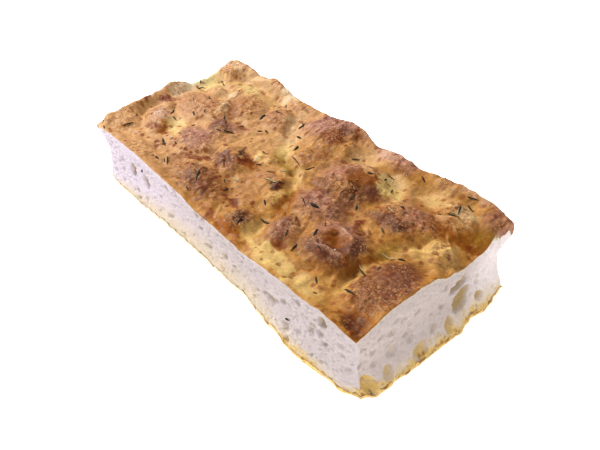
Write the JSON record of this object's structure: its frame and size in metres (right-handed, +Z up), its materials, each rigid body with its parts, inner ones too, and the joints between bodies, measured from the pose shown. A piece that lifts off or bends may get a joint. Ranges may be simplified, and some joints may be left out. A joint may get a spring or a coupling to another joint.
{
  "type": "focaccia slab",
  "caption": "Cut rectangular slab of focaccia with a dimpled golden-brown herb crust and a pale open crumb on its cut sides.",
  "frame": {"origin": "on the table, under the middle of the slab's box", "axes": "+X along the slab towards its near cut end, +Y across it towards its thicker long side, +Z up through the top crust"},
  "size_m": [0.2137, 0.101, 0.0456],
  "materials": {
    "bread": "baked crust, golden to purple-brown, with a matt pale crumb on the cut sides"
  },
  "bodies": {
    "root": {"focaccia": "bread"}
  },
  "joints": []
}
